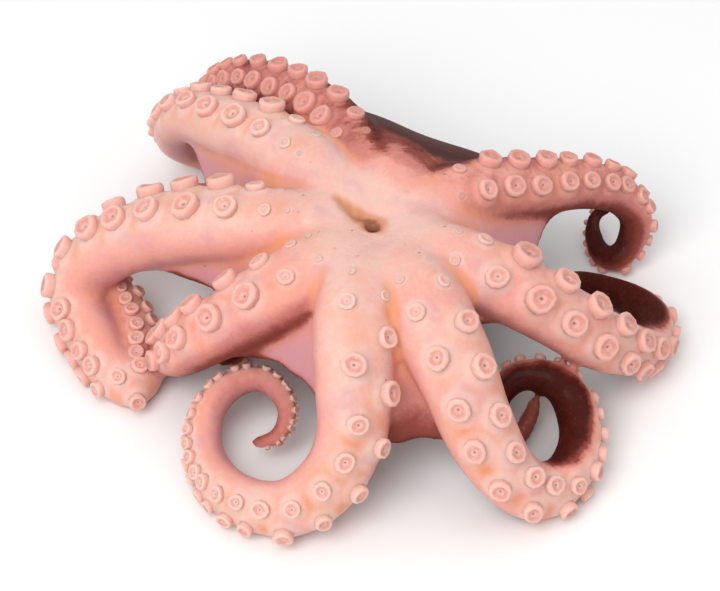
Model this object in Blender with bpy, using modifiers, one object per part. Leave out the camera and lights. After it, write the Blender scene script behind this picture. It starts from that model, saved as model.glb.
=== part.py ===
"""A whole octopus resting mouth up on its own head and mantle, eight arms spread and curled.

Metres, +Z up, the front arms towards -Y. The origin is the middle of the small flat
on which the mantle rests, and everything stands on the plane z = 0.
"""
import bpy
import bmesh
import math
from mathutils import Vector

MM = 0.001
ORIGIN = (5.0, 21.0, 0.0)    # the spot under the mantle that all other places are moved to start from

# Arms: width, taper and cross-section
ARM_STEP = 2.4 * MM          # distance between sections along an arm
ARM_SIDES = 16               # corners round one section
ARM_START_SHARE = 0.50       # half width at the mouth, as a share of the widest half width
ARM_SWELL_END = 0.19         # share of the length where the arm is widest
ARM_TIP_SHARE = 0.17         # half width at the tip, as a share of the widest
ORAL_HEIGHT = 0.80           # rise of the sucker side above the middle line, per half width
LOWEST_MIDDLE = 0.88         # an arm's middle line is at least this high, per half width
BACK_HEIGHT = 0.96           # depth of the back below the middle line, per half width

# Suckers, two rows on each arm
SUCKER_FIRST = 20.0 * MM     # distance from the mouth to the first modelled sucker
SUCKER_FULL = 30.0 * MM      # distance from the mouth where they reach full size
SUCKER_FIRST_SIZE = 0.55     # size of the first one, as a share of the full size
SUCKER_LAST_SHARE = 0.74     # share of the arm's length with modelled suckers
SUCKER_TIP_SWELL = 1.12      # how much larger they are for the arm's width at the tip
SUCKER_CLOSE_GAP = 1.45      # distance from one to the next on the curled end, in radii
SUCKER_ROW_OFFSET = 0.44     # distance of a row from the middle line, per half width
SUCKER_LEAN = 22.0           # degrees that a row leans out
SUCKER_SEAT = 0.86           # where the foot sits, of the height of the sucker side
SUCKER_HEIGHT = 0.98         # how far a sucker stands out from its foot, in sucker radii
SUCKER_RIM = 1.12            # width of the rim, in sucker radii
SUCKER_SIDES = 6

# Mouth: a shallow pit in a low round cushion between the arm roots
MOUTH_PLACE = (2.6, -3.8, 37.0)
MOUTH_RADIUS = 2.0 * MM
MOUTH_DEPTH = 3.0 * MM
CUSHION_PLACE = (2.0, -1.0, 32.5)
CUSHION_HALF = (11.0, 10.5, 4.6)

# Skin
WEB_THICKNESS = 2.4 * MM     # at the free edge
WEB_ROOT_SWELL = 2.4         # how much thicker the web is at the mouth, in edge thicknesses
WEB_ROOT_DROP = -0.45        # height of the web below the arms' middle lines at the mouth
WEB_EDGE_DROP = 0.55         # and at the free edge, both per half width
VOXEL = 1.15 * MM
SMOOTH_PASSES = 5
KEEP_SHARE = 0.070           # share of faces kept when the skin is simplified
FLAT_DEPTH = 12.0 * MM       # depth of the block that trims the underside flat

# Each arm is a smooth run through these waypoints (millimetres), starting at the mouth.
# girth: widest half width in millimetres; fullness: above one holds the width for longer;
# curl: the point the curl winds round; crest: the way the suckers face on the straight part;
# upright: how far that way holds (1) or gives place to facing out of the curl (0) along the arm;
# sucker: radius of the suckers per half width of the arm; gap: from one to the next, in radii;
# widths: half width along the arm as a share of the widest, where it does not taper evenly.
ARMS = {
    "front": {
        "route": ((2.5, -3.5, 33), (0.5, -17, 36), (-1, -28, 33.5), (-1, -36.5, 27), (-1.5, -43, 19),
                  (-6, -48.5, 11.5), (-15, -51, 6.2), (-25.5, -46, 4.9), (-31, -36, 4.8),
                  (-31, -27.5, 7.8), (-27, -22.5, 11), (-21, -21, 12.5), (-16.5, -23.5, 11.5),
                  (-14.5, -28, 9.5), (-16.5, -32, 7), (-20.5, -32, 5)),
        "girth": 8.6, "fullness": 1.05, "curl": (-22, -30, 8), "crest": (0.28, -0.2, 1),
        "upright": ((0, 1), (0.12, 0.95), (0.25, 0.62), (0.35, 0.45), (0.5, 0.35), (0.7, 0.2), (1, 0.1)),
        "sucker": 0.29, "gap": 1.85,
    },
    "front_right": {
        "route": ((5, -3.5, 33), (9.5, -15, 36), (14, -25, 33.5), (19, -34.5, 28), (23, -41, 20.5),
                  (28, -45.5, 12.5), (34.5, -46, 6.2), (41, -41.8, 5), (44.5, -32.5, 6),
                  (43, -24, 9), (38.5, -21, 12.5), (32, -20.5, 12.5), (27.5, -24, 9.5),
                  (27, -29, 6.5), (31, -30.5, 4.5), (34, -26.5, 5.5), (35.4, -23, 7.5)),
        "girth": 8.8, "fullness": 1.0, "curl": (35, -33, 9), "crest": (0, -0.1, 1),
        "upright": ((0, 1), (0.3, 0.9), (0.5, 0.5), (0.6, 0.0), (0.7, -0.35), (0.8, -0.2), (1, 0.1)),
        "sucker": 0.315, "gap": 1.65,
    },
    "right": {
        "route": ((6.5, -1, 33), (13, -7, 36), (21, -11.5, 35), (29.5, -13.5, 31.5),
                  (38.5, -15, 26), (47, -15, 18.5), (54.5, -11, 10.5), (59.5, -5, 6),
                  (61, 3, 4.6), (57.5, 9, 4.2), (51, 13.5, 3.6), (45, 16, 3), (39.5, 14, 2.6),
                  (37.5, 9, 2.4)),
        "girth": 7.9, "fullness": 1.35, "curl": (48, -2, 10), "crest": (0, -0.15, 1),
        "upright": ((0, 1), (0.3, 0.9), (0.45, 0.65), (0.55, 0.3), (0.65, -0.2), (0.8, -0.45), (1, -0.4)),
        "sucker": 0.385, "gap": 1.5,
    },
    "back_right": {
        "route": ((6.5, 4, 33), (12, 6, 35), (19.5, 9.5, 34.5), (28, 14.5, 31.5), (37.5, 19, 28),
                  (46.5, 24, 24), (54, 27, 19), (58.5, 27, 12.5), (58, 25.5, 6.5), (55, 22.8, 3.2),
                  (51.5, 25, 2.6), (50, 30, 3.5), (50.5, 34, 5.2), (53.5, 35.5, 6)),
        "girth": 6.9, "fullness": 1.4, "curl": (53, 25, 11), "crest": (0.0, -0.32, 1),
        "upright": ((0, 1), (0.4, 0.95), (0.55, 0.7), (0.65, 0.3), (0.75, 0), (1, 0)),
        "sucker": 0.35, "gap": 1.5,
    },
    "back": {
        "route": ((4.5, 5.5, 33), (2.5, 12, 35.5), (-1, 21.5, 36), (-5.2, 30.5, 35), (-10.9, 39.3, 33),
                  (-17.2, 46.5, 30.5), (-23.6, 53.2, 27), (-29.5, 58.5, 21), (-32.5, 61.5, 14),
                  (-30, 66, 6.2), (-24, 67, 3.2), (-19, 63.5, 2.4), (-19.5, 58.5, 2),
                  (-24, 58, 1.8)),
        "girth": 6.4, "fullness": 1.45, "curl": (-26, 59, 8), "crest": (0.08, -0.5, 1),
        "upright": ((0, 1), (0.5, 0.95), (0.62, 0.6), (0.7, 0.2), (1, 0)),
        "sucker": 0.375, "gap": 1.5,
    },
    "back_left": {
        "route": ((1, 5.5, 33), (-3.5, 9.5, 35.5), (-10.5, 17, 36), (-18.5, 25.5, 34.5),
                  (-27.5, 34, 31.5), (-35, 42, 27), (-39.5, 47.5, 19.5), (-40, 51, 12),
                  (-37, 54.5, 5.4), (-32, 53.5, 3.4), (-29.5, 49, 2.5), (-32, 45.5, 2.1), (-36, 46.5, 1.9)),
        "girth": 7.7, "fullness": 1.5, "curl": (-34, 47, 9), "crest": (0.1, 0, 1),
        "upright": ((0, 1), (0.5, 0.95), (0.6, 0.6), (0.7, 0.2), (1, 0)),
        "sucker": 0.345, "gap": 1.5,
    },
    "left": {
        "route": ((-0.5, 1, 33), (-6, 0, 35.5), (-14, 1, 35.5), (-23.5, 2.5, 33.5), (-33.5, 6, 30),
                  (-43.5, 9.5, 24.5), (-52.5, 11.5, 17.5), (-57.5, 10.5, 11), (-58.8, 5.5, 6.3),
                  (-55.2, -3, 5.2), (-51.5, -10.8, 4.5), (-47.2, -15.2, 3.6), (-45, -11, 3.8),
                  (-46.2, -2.5, 5), (-48, 4.5, 6.2), (-50.2, 9.5, 6.5), (-52.2, 8, 5.2), (-51.8, 3.5, 4)),
        "girth": 8.4, "fullness": 1.0, "curl": (-50.5, -1, 7), "crest": (0, 0.1, 1),
        "upright": ((0, 1), (0.35, 0.95), (0.45, 0.7), (0.52, 0.35), (0.7, 0.2), (1, 0.1)),
        "widths": ((0, 0.5), (0.1, 0.84), (0.19, 1.0), (0.35, 0.97), (0.5, 0.86), (0.62, 0.74), (0.72, 0.56),
                   (0.8, 0.44), (0.9, 0.32), (1, 0.18)),
        "sucker": 0.35, "gap": 1.45,
    },
    "front_left": {
        "route": ((0.5, -1.5, 33), (-4, -8.5, 35.5), (-10.5, -13.5, 34.5), (-17.5, -16.5, 31.5),
                  (-24.5, -17.5, 27), (-31.5, -17, 20.5), (-37, -12.5, 11.8), (-38.5, -6, 5.8),
                  (-35.5, -1, 3.7), (-30.5, 1, 2.9), (-26, -1, 2.4), (-25.5, -5, 2),
                  (-29, -6, 1.8)),
        "girth": 8.2, "fullness": 1.5, "curl": (-31, -7, 7), "crest": (-0.1, 0.1, 1),
        "upright": ((0, 1), (0.35, 0.9), (0.5, 0.6), (0.62, 0.3), (0.75, 0), (1, 0)),
        "sucker": 0.36, "gap": 1.5,
    },
}

# Skin stretched between neighbouring arms: how far along each arm it reaches (millimetres),
# how deeply its free edge is scooped out, and how far it hangs below the arms' middle lines.
WEBS = (
    ("front", "front_right", 54, 53, 0.12, 4.0),
    ("front_right", "right", 37, 38, 0.22, 3.0),
    ("right", "back_right", 50, 45, 0.22, 3.0),
    ("back_right", "back", 48, 72, 0.05, -2.5),
    ("back", "back_left", 46, 50, 0.10, 2.5),
    ("back_left", "left", 62, 50, 0.24, 3.0),
    ("left", "front_left", 62, 49, 0.32, 3.0),
    ("front_left", "front", 46, 48, 0.20, 3.0),
)

# Head and mantle: middle line, half width and half height of their sections (millimetres).
BODY = (
    (3.0, -1.0, 33.5, 7.0, 7.0),
    (3.0, 0.0, 28.0, 11.5, 10.5),
    (3.0, 2.0, 21.5, 12.5, 11.5),
    (3.5, 6.5, 14.8, 12.5, 12.2),
    (4.2, 13.0, 11.2, 14.0, 12.4),
    (5.2, 21.5, 11.0, 15.8, 12.5),
    (6.2, 30.0, 10.9, 15.2, 12.1),
    (7.0, 37.0, 10.6, 12.2, 10.0),
    (7.4, 41.5, 10.4, 6.5, 5.6),
)


def spot(values):
    """A listed place, in metres from the origin."""
    return (Vector(values) - Vector(ORIGIN)) * MM


def smooth_points(points, per_span):
    """Points of a curve passing through all the given ones."""
    result = []
    count = len(points)
    for i in range(count - 1):
        a = points[max(i - 1, 0)]
        b = points[i]
        c = points[i + 1]
        d = points[min(i + 2, count - 1)]
        for k in range(per_span):
            t = k / per_span
            result.append(0.5 * (2 * b + (c - a) * t + (2 * a - 5 * b + 4 * c - d) * t ** 2
                                 + (3 * b - a - 3 * c + d) * t ** 3))
    result.append(points[-1].copy())
    return result


def even_points(points, step):
    """The same curve with its points the same distance apart."""
    marks = [0.0]
    for i in range(1, len(points)):
        marks.append(marks[-1] + (points[i] - points[i - 1]).length)
    pieces = max(2, round(marks[-1] / step))
    result = []
    k = 0
    for i in range(pieces + 1):
        target = marks[-1] * i / pieces
        while k < len(points) - 2 and marks[k + 1] < target:
            k += 1
        span = marks[k + 1] - marks[k]
        share = (target - marks[k]) / span if span > 0 else 0.0
        result.append(points[k].lerp(points[k + 1], min(max(share, 0.0), 1.0)))
    return result, marks[-1]


def profile(pairs, t):
    """Straight-line value at t from (position, value) pairs."""
    for (t0, v0), (t1, v1) in zip(pairs, pairs[1:]):
        if t <= t1:
            return v0 + (v1 - v0) * (t - t0) / (t1 - t0)
    return pairs[-1][1]


def arm_half_width(arm, t):
    girth = arm["girth"] * MM
    if "widths" in arm:
        return girth * profile(arm["widths"], t)
    if t < ARM_SWELL_END:
        rise = math.sin(0.5 * math.pi * t / ARM_SWELL_END)
        return girth * (ARM_START_SHARE + (1 - ARM_START_SHARE) * rise)
    fall = ((t - ARM_SWELL_END) / (1 - ARM_SWELL_END)) ** arm["fullness"]
    return girth * (1 - (1 - ARM_TIP_SHARE) * fall)


def arm_stations(arm):
    """Stations along one arm: place, direction, sucker side, left side, half width, distance."""
    route = [spot(p) for p in arm["route"]]
    points, length = even_points(smooth_points(route, 10), ARM_STEP)
    curl = spot(arm["curl"])
    crest = Vector(arm["crest"]).normalized()
    stations = []
    last = len(points) - 1
    for i, place in enumerate(points):
        t = i / last
        ahead = (points[min(i + 1, last)] - points[max(i - 1, 0)]).normalized()
        upright = profile(arm["upright"], t)
        outward = (place - curl).normalized()
        facing = crest * upright + outward * (1 - abs(upright))
        facing = (facing - ahead * facing.dot(ahead)).normalized()
        side = ahead.cross(facing).normalized()
        half = arm_half_width(arm, t)
        place.z = max(place.z, half * LOWEST_MIDDLE)
        stations.append({"place": place, "ahead": ahead, "facing": facing, "side": side,
                         "half": half, "t": t, "distance": length * t})
    return stations, length


def add_loft(bm, rings):
    """Skin a list of equal rings of points and close both ends."""
    rows = [[bm.verts.new(p) for p in ring] for ring in rings]
    count = len(rows[0])
    for low, high in zip(rows, rows[1:]):
        for i in range(count):
            j = (i + 1) % count
            bm.faces.new((low[i], low[j], high[j], high[i]))
    bm.faces.new(list(reversed(rows[0])))
    bm.faces.new(rows[-1])


def section(place, side, facing, half_width, up, down, count):
    ring = []
    for i in range(count):
        angle = 2 * math.pi * i / count
        rise = math.sin(angle)
        ring.append(place + side * half_width * math.cos(angle)
                    + facing * (up if rise > 0 else down) * rise)
    return ring


def add_arm(bm, stations):
    rings = []
    for s in stations:
        half = s["half"]
        rings.append(section(s["place"], s["side"], s["facing"], half,
                             half * ORAL_HEIGHT, half * BACK_HEIGHT, ARM_SIDES))
    tip = stations[-1]
    end = tip["half"]
    rings.append(section(tip["place"] + tip["ahead"] * end * 0.7, tip["side"], tip["facing"],
                         end * 0.6, end * 0.5, end * 0.6, ARM_SIDES))
    add_loft(bm, rings)


def add_body(bm):
    middles = smooth_points([spot(row[:3]) for row in BODY], 4)
    sizes = smooth_points([Vector((row[3], row[4], 0)) * MM for row in BODY], 4)
    rings = []
    last = len(middles) - 1
    across = Vector((1, 0, 0))
    for i, middle in enumerate(middles):
        ahead = (middles[min(i + 1, last)] - middles[max(i - 1, 0)]).normalized()
        up = ahead.cross(across).normalized()
        side = up.cross(ahead).normalized()
        rings.append(section(middle, side, up, sizes[i].x, sizes[i].y, sizes[i].y, 24))
    add_loft(bm, rings)


def add_cushion(bm):
    centre = spot(CUSHION_PLACE)
    across, over, high = (v * MM for v in CUSHION_HALF)
    made = bmesh.ops.create_uvsphere(bm, u_segments=24, v_segments=12, radius=1.0)
    for v in made["verts"]:
        v.co = centre + Vector((v.co.x * across, v.co.y * over, v.co.z * high))


def station_at(stations, length, distance):
    return stations[min(len(stations) - 1, round(distance / length * (len(stations) - 1)))]


def add_web(bm, first, second, reach_first, reach_second, scoop, hang):
    """A thin closed sheet between two arms with a scooped free edge."""
    stations_a, length_a = first
    stations_b, length_b = second
    across_count = 10
    along_count = 12
    half = 0.5 * WEB_THICKNESS
    grid = []
    for i in range(across_count + 1):
        w = i / across_count
        bow = math.sin(math.pi * w)
        row = []
        for k in range(along_count + 1):
            share = k / along_count * (1 - scoop * bow)
            a = station_at(stations_a, length_a, reach_first * MM * share)
            b = station_at(stations_b, length_b, reach_second * MM * share)
            drop = WEB_ROOT_DROP + (WEB_EDGE_DROP - WEB_ROOT_DROP) * k / along_count
            low_a = a["place"] - a["facing"] * a["half"] * drop
            low_b = b["place"] - b["facing"] * b["half"] * drop
            point = low_a.lerp(low_b, w)
            point.z -= hang * MM * bow * (k / along_count)
            point.z = max(point.z, 1.2 * half)
            row.append(point)
        grid.append(row)
    top = []
    bottom = []
    for i, row in enumerate(grid):
        top_row = []
        bottom_row = []
        for k, point in enumerate(row):
            along = row[min(k + 1, along_count)] - row[max(k - 1, 0)]
            over = grid[min(i + 1, across_count)][k] - grid[max(i - 1, 0)][k]
            normal = along.cross(over)
            if normal.z < 0:
                normal.negate()
            normal = normal.normalized() if normal.length > 0 else Vector((0, 0, 1))
            thick = half * (1 + WEB_ROOT_SWELL * (1 - k / along_count))
            top_row.append(bm.verts.new(point + normal * thick))
            bottom_row.append(bm.verts.new(point - normal * thick))
        top.append(top_row)
        bottom.append(bottom_row)
    for i in range(across_count):
        for k in range(along_count):
            bm.faces.new((top[i][k], top[i + 1][k], top[i + 1][k + 1], top[i][k + 1]))
            bm.faces.new((bottom[i][k], bottom[i][k + 1], bottom[i + 1][k + 1], bottom[i + 1][k]))
        bm.faces.new((top[i][0], bottom[i][0], bottom[i + 1][0], top[i + 1][0]))
        n = along_count
        bm.faces.new((top[i][n], top[i + 1][n], bottom[i + 1][n], bottom[i][n]))
    for k in range(along_count):
        m = across_count
        bm.faces.new((top[0][k], top[0][k + 1], bottom[0][k + 1], bottom[0][k]))
        bm.faces.new((top[m][k], bottom[m][k], bottom[m][k + 1], top[m][k + 1]))


def add_stud(bm, base, axis, radius):
    """A sucker: a short six-sided plug, narrower at the foot that is sunk in the skin."""
    across = axis.orthogonal().normalized()
    over = axis.cross(across)
    rings = []
    for rise, size in ((-1.1, 0.85), (SUCKER_HEIGHT, SUCKER_RIM)):
        ring = []
        for i in range(SUCKER_SIDES):
            angle = 2 * math.pi * i / SUCKER_SIDES
            ring.append(base + axis * rise * radius
                        + (across * math.cos(angle) + over * math.sin(angle)) * radius * size)
        rings.append(ring)
    add_loft(bm, rings)


def add_studs(bm, arm, stations, length):
    distance = SUCKER_FIRST
    row = 1
    while distance < length * SUCKER_LAST_SHARE:
        s = station_at(stations, length, distance)
        grown = min(1.0, (distance - SUCKER_FIRST) / (SUCKER_FULL - SUCKER_FIRST))
        size = SUCKER_FIRST_SIZE + (1 - SUCKER_FIRST_SIZE) * grown
        radius = s["half"] * arm["sucker"] * size * (1 + (SUCKER_TIP_SWELL - 1) * s["t"])
        lean = math.radians(SUCKER_LEAN) * row
        axis = (s["facing"] * math.cos(lean) + s["side"] * math.sin(lean)).normalized()
        place = (s["place"] + s["side"] * s["half"] * SUCKER_ROW_OFFSET * row
                 + s["facing"] * s["half"] * ORAL_HEIGHT * SUCKER_SEAT)
        add_stud(bm, place, axis, radius)
        row = -row
        distance += radius * (arm["gap"] if s["t"] < 0.5 else SUCKER_CLOSE_GAP)


def new_object(name, bm, collection):
    bmesh.ops.recalc_face_normals(bm, faces=bm.faces[:])
    mesh = bpy.data.meshes.new(name)
    bm.to_mesh(mesh)
    bm.free()
    obj = bpy.data.objects.new(name, mesh)
    collection.objects.link(obj)
    return obj


def keep_outer_skin(mesh):
    """Drop everything but the one largest connected surface."""
    bm = bmesh.new()
    bm.from_mesh(mesh)
    waiting = set(bm.verts)
    groups = []
    while waiting:
        seed = waiting.pop()
        group = [seed]
        stack = [seed]
        while stack:
            v = stack.pop()
            for edge in v.link_edges:
                other = edge.other_vert(v)
                if other in waiting:
                    waiting.remove(other)
                    group.append(other)
                    stack.append(other)
        groups.append(group)
    groups.sort(key=len)
    for group in groups[:-1]:
        bmesh.ops.delete(bm, geom=group, context="VERTS")
    bm.to_mesh(mesh)
    bm.free()


def skin_material():
    material = bpy.data.materials.new("octopus_skin")
    material.use_nodes = True
    shader = material.node_tree.nodes["Principled BSDF"]
    shader.inputs["Base Color"].default_value = (0.80, 0.43, 0.36, 1.0)
    shader.inputs["Roughness"].default_value = 0.38
    shader.inputs["Metallic"].default_value = 0.0
    material.diffuse_color = (0.80, 0.43, 0.36, 1.0)
    return material


def main():
    for obj in list(bpy.data.objects):
        bpy.data.objects.remove(obj, do_unlink=True)
    scene = bpy.context.scene
    parts = bpy.data.collections.new("octopus")
    cutters = bpy.data.collections.new("cutters")
    scene.collection.children.link(parts)
    scene.collection.children.link(cutters)

    arms = {name: arm_stations(arm) for name, arm in ARMS.items()}

    form = bmesh.new()
    for stations, length in arms.values():
        add_arm(form, stations)
    add_body(form)
    add_cushion(form)
    for first, second, reach_a, reach_b, scoop, hang in WEBS:
        add_web(form, arms[first], arms[second], reach_a, reach_b, scoop, hang)
    rough = new_object("rough_form", form, cutters)
    remesh = rough.modifiers.new("one_skin", "REMESH")
    remesh.mode = "VOXEL"
    remesh.voxel_size = VOXEL
    remesh.adaptivity = 0.0
    soften = rough.modifiers.new("soften", "SMOOTH")
    soften.factor = 0.5
    soften.iterations = SMOOTH_PASSES
    simplify = rough.modifiers.new("simplify", "DECIMATE")
    simplify.ratio = KEEP_SHARE
    bpy.context.view_layer.update()
    depsgraph = bpy.context.evaluated_depsgraph_get()
    mesh = bpy.data.meshes.new_from_object(rough.evaluated_get(depsgraph), depsgraph=depsgraph)
    bpy.data.objects.remove(rough, do_unlink=True)
    keep_outer_skin(mesh)
    mesh.name = "octopus"
    mesh.materials.clear()
    mesh.materials.append(skin_material())
    octopus = bpy.data.objects.new("octopus", mesh)
    parts.objects.link(octopus)

    studs = bmesh.new()
    for name, (stations, length) in arms.items():
        add_studs(studs, ARMS[name], stations, length)
    stud_object = new_object("sucker_studs", studs, cutters)
    block = bmesh.new()
    bmesh.ops.create_cube(block, size=1.0)
    for v in block.verts:
        v.co.x *= 0.3
        v.co.y *= 0.3
        v.co.z = v.co.z * FLAT_DEPTH - FLAT_DEPTH * 0.5
    block_object = new_object("ground_block", block, cutters)
    pit = bmesh.new()
    made = bmesh.ops.create_cone(pit, cap_ends=True, segments=8, radius1=MOUTH_RADIUS * 0.3,
                                 radius2=MOUTH_RADIUS * 1.7, depth=MOUTH_DEPTH * 2.2)
    for v in made["verts"]:
        v.co += spot(MOUTH_PLACE)
    pit_object = new_object("mouth_pit", pit, cutters)
    for cutter in (stud_object, block_object, pit_object):
        cutter.hide_render = True
        cutter.display_type = "WIRE"

    add_suckers = octopus.modifiers.new("suckers", "BOOLEAN")
    add_suckers.operation = "UNION"
    add_suckers.solver = "EXACT"
    add_suckers.use_self = True
    add_suckers.object = stud_object
    trim = octopus.modifiers.new("flat_underside", "BOOLEAN")
    trim.operation = "DIFFERENCE"
    trim.solver = "EXACT"
    trim.object = block_object
    mouth = octopus.modifiers.new("mouth", "BOOLEAN")
    mouth.operation = "DIFFERENCE"
    mouth.solver = "EXACT"
    mouth.object = pit_object
    for polygon in mesh.polygons:
        polygon.use_smooth = True


main()
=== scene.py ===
import bpy
import bmesh
import math
import random
import numpy as np
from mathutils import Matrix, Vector, kdtree, noise


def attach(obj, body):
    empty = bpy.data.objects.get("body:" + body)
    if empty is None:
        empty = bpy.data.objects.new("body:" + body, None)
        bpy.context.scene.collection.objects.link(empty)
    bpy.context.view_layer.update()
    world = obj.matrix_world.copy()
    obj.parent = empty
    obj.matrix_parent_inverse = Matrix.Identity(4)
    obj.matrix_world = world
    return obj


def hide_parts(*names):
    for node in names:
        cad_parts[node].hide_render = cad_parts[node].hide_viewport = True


# A whole raw octopus lying mouth up on its own head and mantle, arms spread and curled.
# Metres, +Z up, the front arms towards -Y. Lists marked mm hold millimetres.

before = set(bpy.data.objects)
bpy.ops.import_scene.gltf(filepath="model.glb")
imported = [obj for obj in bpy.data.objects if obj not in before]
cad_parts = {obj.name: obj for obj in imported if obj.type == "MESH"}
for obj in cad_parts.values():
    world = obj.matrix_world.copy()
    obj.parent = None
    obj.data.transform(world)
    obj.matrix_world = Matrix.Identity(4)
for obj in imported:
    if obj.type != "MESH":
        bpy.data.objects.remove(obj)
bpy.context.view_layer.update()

mm = 0.001
listedOrigin = Vector((5.0, 21.0, 0.0))  # mm, the resting spot, which is the frame's own origin


def spot(values):
    return (Vector(values) - listedOrigin) * mm


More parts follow.
